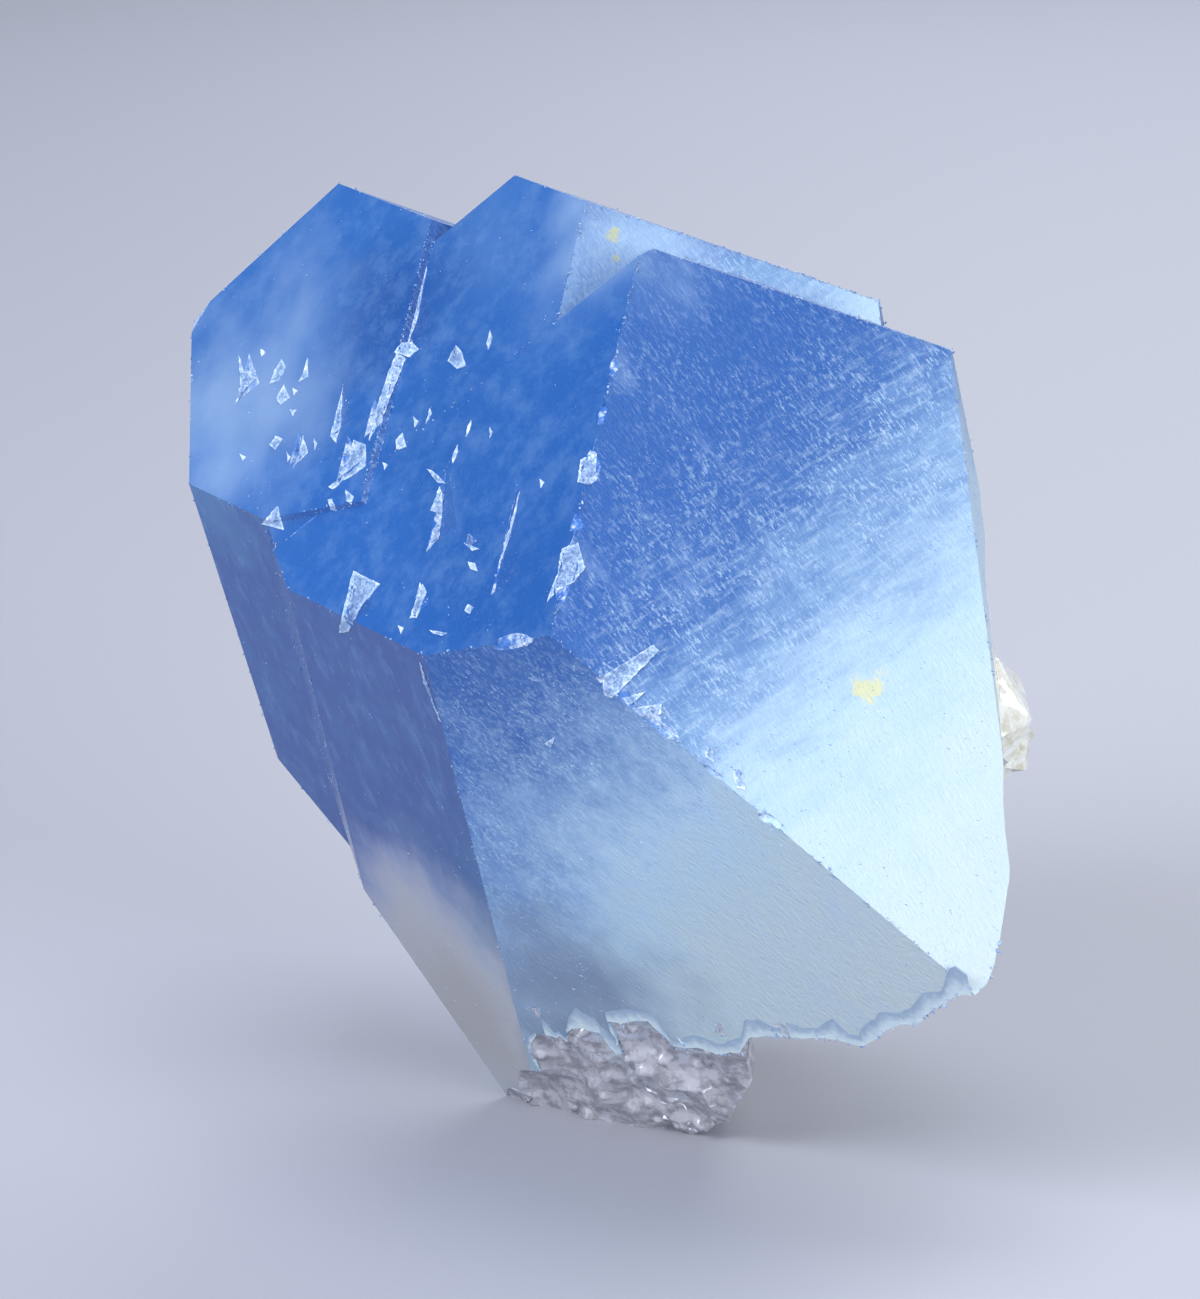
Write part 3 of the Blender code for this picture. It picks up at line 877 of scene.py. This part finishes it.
# %% The flakes
FLAKES = (
    ((427, 267), (418, 318), (405, 352)),
    ((395, 353), (401, 343), (412, 342), (419, 349), (410, 357)),
    ((397, 354), (406, 359), (395, 385), (386, 409), (369, 441), (378, 405), (388, 375)),
    ((343, 387), (341, 425), (336, 443), (331, 436)),
    ((354, 440), (366, 445), (366, 466), (353, 476), (340, 483), (350, 458)),
    ((456, 345), (462, 352), (466, 366), (457, 369), (448, 361)),
    ((239, 356), (244, 372), (257, 378), (246, 388), (236, 404), (241, 384)),
    ((284, 385), (290, 398), (280, 405), (277, 398)),
    ((303, 435), (308, 453), (293, 468), (300, 452)),
    ((396, 440), (403, 433), (407, 447), (397, 450)),
    ((427, 469), (432, 470), (447, 484), (438, 483)),
    ((440, 486), (443, 500), (440, 513), (431, 511)),
    ((442, 515), (439, 538), (427, 552), (433, 530)),
    ((520, 491), (512, 530), (500, 566), (499, 564), (510, 528)),
    ((458, 445), (458, 452), (453, 464), (452, 458)),
    ((472, 420), (470, 430), (466, 437), (468, 427)),
    ((354, 571), (380, 584), (362, 606), (349, 631), (339, 633), (345, 604)),
    ((423, 584), (427, 592), (417, 618), (410, 619), (415, 602)),
    ((278, 506), (281, 518), (284, 530), (262, 524)),
    ((464, 543), (480, 549), (472, 551)),
    ((328, 500), (332, 499), (337, 511), (331, 509)),
    ((430, 630), (447, 633), (444, 636), (433, 634)),
    ((468, 604), (474, 607), (470, 614), (465, 611)),
    ((490, 330), (492, 338), (489, 350), (487, 344)),
    ((282, 359), (286, 367), (279, 381), (270, 384), (275, 370)),
    ((308, 358), (308, 377), (299, 382), (303, 374)),
    ((276, 436), (283, 439), (275, 450), (270, 445)),
    ((261, 349), (266, 352), (262, 357)),
    ((293, 388), (298, 391), (294, 395)),
    ((240, 454), (246, 457), (243, 461)),
    ((287, 452), (291, 457), (288, 462)),
    ((314, 438), (317, 443), (315, 450)),
    ((290, 410), (297, 410), (293, 416)),
    ((414, 417), (419, 421), (415, 428)),
    ((430, 408), (432, 414), (426, 424)),
    ((383, 462), (388, 465), (385, 470)),
    ((346, 490), (354, 496), (352, 504), (346, 501)),
    ((540, 479), (545, 482), (541, 488)),
    ((468, 562), (475, 563), (478, 572), (471, 569)),
    ((329, 487), (338, 480), (340, 484), (333, 490)),
    ((490, 427), (493, 432), (490, 438)),
    ((398, 626), (404, 628), (401, 634)),
)
# White chips on the ridges, and bright streaks beside them.
CHIPS = (
    ((581, 460), (597, 453), (596, 472), (588, 485), (578, 482)),
    ((562, 549), (578, 543), (585, 568), (572, 584), (559, 590), (547, 602), (558, 574)),
    ((602, 677), (653, 645), (659, 651), (612, 698), (604, 694)),
    ((622, 698), (645, 692), (628, 707)),
    ((632, 708), (661, 704), (661, 714), (641, 716)),
    ((649, 714), (677, 733), (679, 739), (657, 722)),
    ((704, 749), (712, 747), (714, 763), (706, 757)),
    ((732, 771), (741, 769), (745, 790), (737, 788)),
    ((420, 661), (424, 682), (441, 722), (435, 706)),
    ((545, 743), (555, 737), (551, 747)),
    ((677, 1037), (692, 1047), (686, 1050)),
)
FLAKE_STEP = 5.0
FLAKE_PROUD = 0.05 * MM
FLAKE_SUNK = 0.06 * MM
STRETCHED = 1.3 * MM


def thick_sheet(bm, places, outward, faces, rims):
    """Add a thin closed sheet: a top a little proud of the skin, a bottom sunk in it, and a rim."""
    rim_layer = bm.verts.layers.float["rim"]
    used = sorted({k for corners in faces for k in corners})
    tops = {k: bm.verts.new(places[k]) for k in used}
    bottoms = {k: bm.verts.new(places[k] - outward[k] * (FLAKE_PROUD + FLAKE_SUNK)) for k in used}
    sides = {}
    for corners in faces:
        bm.faces.new([tops[k] for k in corners])
        bm.faces.new([bottoms[k] for k in reversed(corners)])
        for one, two in zip(corners, corners[1:] + corners[:1]):
            if sides.pop((two, one), None) is None:
                sides[(one, two)] = True
    for one, two in sides:
        bm.faces.new((tops[two], tops[one], bottoms[one], bottoms[two]))
    for k in used:
        tops[k][rim_layer] = rims[k]
        bottoms[k][rim_layer] = rims[k]


def widest_gap(corners):
    """The longest side of a face, to find faces that bridge two parts of the crystal."""
    return max((one - two).length for one, two in zip(corners, corners[1:] + corners[:1]))


def add_flake(bm, outline, seed):
    """One thin flake that follows the skin, from its outline in pixels."""
    flat = bmesh.new()
    corners = [flat.verts.new((across, down, 0.0)) for across, down in outline]
    flat.faces.new(corners)
    bmesh.ops.triangulate(flat, faces=flat.faces[:])
    for step in range(4):
        long_edges = [edge for edge in flat.edges if edge.calc_length() > FLAKE_STEP]
        if not long_edges:
            break
        bmesh.ops.subdivide_edges(flat, edges=long_edges, cuts=1)
        bmesh.ops.triangulate(flat, faces=[face for face in flat.faces if len(face.verts) > 3])
    flat.verts.index_update()
    places, ways, rims = [], [], []
    for vert in flat.verts:
        ragged = noise.noise_vector(Vector((vert.co.x / 3.0, vert.co.y / 3.0, seed * 7.1)))
        place, outward = spot(vert.co.x + 0.9 * ragged.x, vert.co.y + 0.9 * ragged.y)
        places.append(place + outward * FLAKE_PROUD * (1.0 + ragged.z))
        ways.append(outward)
        rims.append(1.0 if vert.is_boundary else 0.0)
    faces = [[vert.index for vert in face.verts] for face in flat.faces]
    flat.free()
    faces = [corners for corners in faces if widest_gap([places[k] for k in corners]) < STRETCHED]
    thick_sheet(bm, places, ways, faces, rims)


def flake_piece(name, outlines):
    """All the flakes of one kind as one object."""
    bm = bmesh.new()
    bm.verts.layers.float.new("rim")
    for number, outline in enumerate(outlines):
        add_flake(bm, outline, number)
    bmesh.ops.recalc_face_normals(bm, faces=bm.faces[:])
    made = mesh_object(name, bm)
    print(name + ":", len(outlines), "with", len(made.data.polygons), "faces")
    return made


flakes = flake_piece("pit_wall_flakes", FLAKES)
white_chips = flake_piece("white_chips", CHIPS)

# %% [markdown]
# Above the scalloped lip the lower front face is crushed to a pale band, about a millimetre wide.
# It is a thin sheet too: the lip's edges, drawn again a little further up the face. The number
# `rim` runs from 1 on the lip to 0 at the top of the band, and the material fades with it.

# %% The pale band above the lip
BAND_WIDE = 1.5
BAND_ROWS = 3


def lip_band(name, segments):
    """A thin sheet that follows the lip and reaches up the face above it."""
    numbers, places, ways, rims, faces = {}, [], [], [], []
    for one, two, face_key in segments:
        outward = GROWN[face_key]
        upward = (Vector((0.0, 0.0, 1.0)) - outward * outward.z).normalized()
        for end in (one, two):
            key = (face_key, tuple(round(value / MM, 2) for value in end))
            if key in numbers:
                continue
            numbers[key] = len(places)
            for row in range(BAND_ROWS + 1):
                wide = BAND_WIDE * max(0.7 + 1.2 * noise.noise(end / MM / 1.7), 0.2) * MM * row / BAND_ROWS
                places.append(end + upward * wide + outward * FLAKE_PROUD * (0.4 if row == BAND_ROWS else 1.0))
                ways.append(outward)
                rims.append(1.0 - row / BAND_ROWS)
        left, right = (
            numbers[(face_key, tuple(round(value / MM, 2) for value in end))] for end in (one, two))
        for row in range(BAND_ROWS):
            faces.append([left + row, right + row, right + row + 1, left + row + 1])
    bm = bmesh.new()
    bm.verts.layers.float.new("rim")
    thick_sheet(bm, places, ways, faces, rims)
    bmesh.ops.recalc_face_normals(bm, faces=bm.faces[:])
    made = mesh_object(name, bm)
    print(name + ":", len(made.data.polygons), "faces")
    return made


band = lip_band("lip_band", lip_run)
pale_lip = Nodes("pale_lip")
pale_place = pale_lip.millimetres()
pale_share = pale_lip.math("MULTIPLY_ADD", pale_lip.noise(pale_place, 0.5, 3.0), 1.0, pale_lip.attribute("rim"))
pale_lip.put(pale_lip.shader.inputs["Base Color"], pale_lip.colours(pale_lip.ramp(pale_share, 0.5, 1.6), [
    (0.0, (0.28, 0.38, 0.52)), (0.5, (0.46, 0.58, 0.68)), (1.0, (0.62, 0.74, 0.80))]))
pale_lip.shader.inputs["Roughness"].default_value = 0.40
pale_lip.shader.inputs["IOR"].default_value = 1.62
band.data.materials.append(pale_lip.material)
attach(band, "root")

# %% [markdown]
# The walls are frosted: whitish, grainy, brighter where a grain stands up. A little light goes
# through them, so the blue behind still tints them.

# %% Frost for the flakes and chips
frost = Nodes("white_frost")
frost_place = frost.millimetres()
frost_grain = frost.noise(frost_place, 0.16, 3.0, 0.7)
frost_cloud = frost.noise(frost_place, 0.9, 2.0)
frost_rim = frost.attribute("rim")
frost_share = frost.math("ADD", frost.math("MULTIPLY", frost_grain, 0.6), frost.math("MULTIPLY", frost_cloud, 0.4))
frost_share = frost.math("MULTIPLY_ADD", frost_rim, 0.10, frost_share)
frost.put(frost.shader.inputs["Base Color"], frost.colours(frost_share, [
    (0.38, (0.14, 0.27, 0.60)), (0.54, (0.36, 0.54, 0.84)), (0.72, (0.86, 0.93, 1.0))]))
frost.put(frost.shader.inputs["Roughness"], frost.ramp(frost_grain, 0.3, 0.7, 0.62, 0.30))
frost.shader.inputs["IOR"].default_value = 1.62
frost.put(frost.shader.inputs["Transmission Weight"], frost.ramp(frost_share, 0.40, 0.62, 0.35, 0.03))
frost.put(frost.shader.inputs["Normal"], frost.bump(frost_grain, 0.00006, 0.8))
for piece in (flakes, white_chips):
    piece.data.materials.append(frost.material)
    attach(piece, "root")
print("frost material ready")

# %% [markdown]
# ## Tiny chips along the ridges
#
# Up close, a worn ridge is a dotted white line: a row of tiny chips. On the ridges the chips are
# also a painted highlight, standing in for the thin bright line of a sharp edge. This is work for
# Geometry Nodes. The ridges become curves, points are laid along them, and a small lump is put on
# some of the points, more of them where the ridge is more worn. The tree is built here in the
# script and its sizes are named inputs, so the same tree could serve another stone.

# %% A helper that builds a node tree of geometry


class Recipe:
    """A Geometry Nodes tree with named inputs, whose result is kept as a plain mesh."""

    def __init__(self, name, numbers):
        self.tree = bpy.data.node_groups.new(name, "GeometryNodeTree")
        self.tree.interface.new_socket("Geometry", in_out="INPUT", socket_type="NodeSocketGeometry")
        self.tree.interface.new_socket("Geometry", in_out="OUTPUT", socket_type="NodeSocketGeometry")
        self.numbers = numbers
        for label, value in numbers.items():
            kind = "NodeSocketInt" if isinstance(value, int) else "NodeSocketFloat"
            self.tree.interface.new_socket(label, in_out="INPUT", socket_type=kind)
        self.start = self.tree.nodes.new("NodeGroupInput")
        self.end = self.tree.nodes.new("NodeGroupOutput")

    def node(self, kind, settings=None, **inputs):
        """Add a node, set its options, and set or join its inputs by name."""
        made = self.tree.nodes.new(kind)
        for option, value in (settings or {}).items():
            setattr(made, option, value)
        for label, value in inputs.items():
            name = label.replace("_", " ")
            usable = [item for item in made.inputs if item.name == name and item.enabled]
            if isinstance(value, bpy.types.NodeSocket):
                self.tree.links.new(value, usable[0])
            else:
                usable[0].default_value = value
        return made

    def out(self, made, label=None):
        """The first usable output of a node, or the one with this name."""
        usable = [item for item in made.outputs if item.enabled and (label is None or item.name == label)]
        return usable[0]

    def calc(self, operation, one, two=0.0, three=0.0):
        """One Math node."""
        made = self.node("ShaderNodeMath", {"operation": operation})
        for socket, value in zip(made.inputs, (one, two, three)):
            if isinstance(value, bpy.types.NodeSocket):
                self.tree.links.new(value, socket)
            else:
                socket.default_value = value
        return made.outputs[0]

    def finish(self, instances, material):
        """End the tree: real geometry with a material."""
        real = self.node("GeometryNodeRealizeInstances", Geometry=instances)
        dressed = self.node("GeometryNodeSetMaterial", Geometry=real.outputs[0])
        dressed.inputs["Material"].default_value = material
        self.tree.links.new(dressed.outputs[0], self.end.inputs[0])

    def bake(self, carrier, name):
        """Run the tree on an object and keep the result as a new plain mesh object."""
        modifier = carrier.modifiers.new("recipe", "NODES")
        modifier.node_group = self.tree
        for item in self.tree.interface.items_tree:
            if item.in_out == "INPUT" and item.name in self.numbers:
                modifier[item.identifier] = self.numbers[item.name]
        bpy.context.view_layer.update()
        evaluated = carrier.evaluated_get(bpy.context.evaluated_depsgraph_get())
        mesh = bpy.data.meshes.new_from_object(evaluated)
        mesh.name = name
        carrier.modifiers.remove(modifier)
        thing = bpy.data.objects.new(name, mesh)
        bpy.context.scene.collection.objects.link(thing)
        return thing


print("recipe helper ready")

# %% Chips along the ridges and the lip


def line_object(name, segments):
    """Loose edges in the scene, each with a number that says how worn it is."""
    mesh = bpy.data.meshes.new(name)
    points = [point for one, two, wear in segments for point in (one, two)]
    mesh.from_pydata(points, [(2 * k, 2 * k + 1) for k in range(len(segments))], [])
    values = mesh.attributes.new("wear", "FLOAT", "POINT")
    for number, (one, two, wear) in enumerate(segments):
        values.data[2 * number].value = wear
        values.data[2 * number + 1].value = wear
    thing = bpy.data.objects.new(name, mesh)
    bpy.context.scene.collection.objects.link(thing)
    return thing


def chips_on_lines(name, segments, numbers):
    """Small lumps along lines, more of them where the line is more worn."""
    recipe = Recipe(name + "_recipe", numbers)
    sizes = recipe.start.outputs
    lines = recipe.node("GeometryNodeMeshToCurve", Mesh=sizes["Geometry"])
    dots = recipe.node("GeometryNodeCurveToPoints", {"mode": "LENGTH"}, Curve=lines.outputs[0], Length=sizes["Spacing"])
    how_worn = recipe.node("GeometryNodeInputNamedAttribute", {"data_type": "FLOAT"}, Name="wear")
    where = recipe.node("GeometryNodeInputPosition")
    clumps = recipe.node("ShaderNodeTexNoise", Vector=where.outputs[0], Scale=900.0, Detail=2.0)
    clump = recipe.calc("MULTIPLY", recipe.calc("SUBTRACT", clumps.outputs[0], 0.30), 3.6)
    chance = recipe.calc("MULTIPLY", clump, recipe.out(how_worn, "Attribute"))
    chosen = recipe.node("FunctionNodeRandomValue", {"data_type": "BOOLEAN"}, Probability=chance, Seed=sizes["Seed"])
    off = recipe.node("FunctionNodeRandomValue", {"data_type": "FLOAT_VECTOR"}, Min=(-1.0, -1.0, -1.0))
    spread = recipe.node("ShaderNodeVectorMath", {"operation": "SCALE"})
    recipe.tree.links.new(recipe.out(off), spread.inputs[0])
    recipe.tree.links.new(sizes["Spread"], spread.inputs["Scale"])
    moved = recipe.node("GeometryNodeSetPosition", Geometry=dots.outputs["Points"], Offset=spread.outputs[0])
    lump = recipe.node("GeometryNodeMeshIcoSphere", Radius=1.0, Subdivisions=1)
    turned = recipe.node("FunctionNodeRandomValue", {"data_type": "FLOAT_VECTOR"}, Max=(6.28, 6.28, 6.28))
    stretch = recipe.node(
        "FunctionNodeRandomValue", {"data_type": "FLOAT_VECTOR"}, Min=(0.5, 0.4, 0.4), Max=(1.7, 1.0, 0.9))
    size = recipe.node(
        "FunctionNodeRandomValue", {"data_type": "FLOAT"}, Min=sizes["Smallest"], Max=sizes["Largest"])
    scaled = recipe.node("ShaderNodeVectorMath", {"operation": "SCALE"})
    recipe.tree.links.new(recipe.out(stretch), scaled.inputs[0])
    recipe.tree.links.new(recipe.out(size), scaled.inputs["Scale"])
    placed = recipe.node(
        "GeometryNodeInstanceOnPoints", Points=moved.outputs[0], Selection=recipe.out(chosen),
        Instance=lump.outputs[0], Rotation=recipe.out(turned), Scale=scaled.outputs[0])
    recipe.finish(placed.outputs[0], frost.material)
    carrier = line_object(name + "_lines", segments)
    made = recipe.bake(carrier, name)
    bpy.data.objects.remove(carrier, do_unlink=True)
    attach(made, "root")
    print(name + ":", len(made.data.polygons), "faces")
    return made


# Painted highlight in part: the white ridge chips also stand in for the thin bright line that a sharp ridge catches.
ridge_chips = chips_on_lines("ridge_chips", ridges, {
    "Spacing": 0.12 * MM, "Smallest": 0.018 * MM, "Largest": 0.095 * MM, "Spread": 0.10 * MM, "Seed": 4})
lip_chips = chips_on_lines("lip_chips", lip, {
    "Spacing": 0.16 * MM, "Smallest": 0.04 * MM, "Largest": 0.13 * MM, "Spread": 0.15 * MM, "Seed": 6})

# %% [markdown]
# ## Etched grains on the growth faces
#
# The big faces are dusted with thousands of tiny bright grains and dashes, where etching left
# small stubs standing. They are thick around the front between white and blue and thin elsewhere.
# The same kind of recipe scatters them: points on the faces, a chance that depends on how etched
# the face is and on the place along the growth direction, and a flat sliver on each chosen point,
# drawn out along one crystal direction.

# %% Scatter the grains


def grains_on_faces(name, share_of, numbers, lowest, highest, banded):
    """Flat slivers on the faces, where the named number is high. Lowest and highest give the stretch."""
    recipe = Recipe(name + "_recipe", numbers)
    sizes = recipe.start.outputs
    points = recipe.node(
        "GeometryNodeDistributePointsOnFaces", Mesh=sizes["Geometry"], Density=sizes["Density"],
        Seed=sizes["Seed"])
    share = recipe.node("GeometryNodeInputNamedAttribute", {"data_type": "FLOAT"}, Name=share_of)
    chance = recipe.out(share, "Attribute")
    where = recipe.node("GeometryNodeInputPosition")
    if banded:
        along = recipe.node("ShaderNodeVectorMath", {"operation": "DOT_PRODUCT"})
        recipe.tree.links.new(where.outputs[0], along.inputs[0])
        along.inputs[1].default_value = GROWTH_WAY
        away = recipe.calc("ABSOLUTE", recipe.calc("SUBTRACT", along.outputs["Value"], sizes["Front"]))
        band = recipe.node("ShaderNodeMapRange", Value=away, From_Max=9.0 * MM, To_Min=1.0, To_Max=0.25)
        chance = recipe.calc("MULTIPLY", chance, recipe.out(band))
        patch = recipe.node("ShaderNodeTexNoise", Vector=where.outputs[0], Scale=330.0, Detail=3.0)
        thick = recipe.node(
            "ShaderNodeMapRange", Value=patch.outputs[0], From_Min=0.38, From_Max=0.66, To_Min=0.08, To_Max=1.0)
        chance = recipe.calc("MULTIPLY", chance, recipe.out(thick))
    chosen = recipe.node("FunctionNodeRandomValue", {"data_type": "BOOLEAN"}, Probability=chance)
    sliver = recipe.node("GeometryNodeMeshCone", Vertices=4, Radius_Top=0.35, Radius_Bottom=1.0, Depth=0.8)
    facing = recipe.node(
        "FunctionNodeAlignRotationToVector", {"axis": "X", "pivot_axis": "Z"},
        Rotation=points.outputs["Rotation"], Vector=hair_way)
    swing = recipe.node("FunctionNodeRandomValue", {"data_type": "FLOAT"}, Min=-0.8, Max=0.8)
    swing_turn = recipe.node("ShaderNodeCombineXYZ")
    recipe.tree.links.new(recipe.out(swing), swing_turn.inputs[2])
    turned = recipe.node(
        "FunctionNodeRotateRotation", {"rotation_space": "LOCAL"}, Rotation=facing.outputs[0],
        Rotate_By=swing_turn.outputs[0])
    stretch = recipe.node("FunctionNodeRandomValue", {"data_type": "FLOAT_VECTOR"}, Min=lowest, Max=highest)
    size = recipe.node(
        "FunctionNodeRandomValue", {"data_type": "FLOAT"}, Min=sizes["Smallest"], Max=sizes["Largest"])
    scaled = recipe.node("ShaderNodeVectorMath", {"operation": "SCALE"})
    recipe.tree.links.new(recipe.out(stretch), scaled.inputs[0])
    recipe.tree.links.new(recipe.out(size), scaled.inputs["Scale"])
    placed = recipe.node(
        "GeometryNodeInstanceOnPoints", Points=points.outputs["Points"], Selection=recipe.out(chosen),
        Instance=sliver.outputs[0], Rotation=turned.outputs[0], Scale=scaled.outputs[0])
    recipe.finish(placed.outputs[0], frost.material)
    made = recipe.bake(body, name)
    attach(made, "root")
    print(name + ":", len(made.data.polygons), "faces")
    return made


grains = grains_on_faces("etched_grains", "etch", {
    "Density": 9.0e6, "Smallest": 0.015 * MM, "Largest": 0.052 * MM, "Front": (FRONT_LEVEL - 4.0 - LEVEL_AT_ORIGIN) * MM,
    "Seed": 9}, (0.7, 0.5, 0.4), (3.0, 0.9, 0.7), True)
crumbs = grains_on_faces("chip_crumbs", "frosted", {
    "Density": 6.0e6, "Smallest": 0.03 * MM, "Largest": 0.11 * MM, "Seed": 12},
    (0.6, 0.5, 0.6), (1.6, 1.2, 1.3), False)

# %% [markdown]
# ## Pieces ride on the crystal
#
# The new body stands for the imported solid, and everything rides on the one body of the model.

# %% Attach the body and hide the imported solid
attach(body, "root")
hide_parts(NODE)
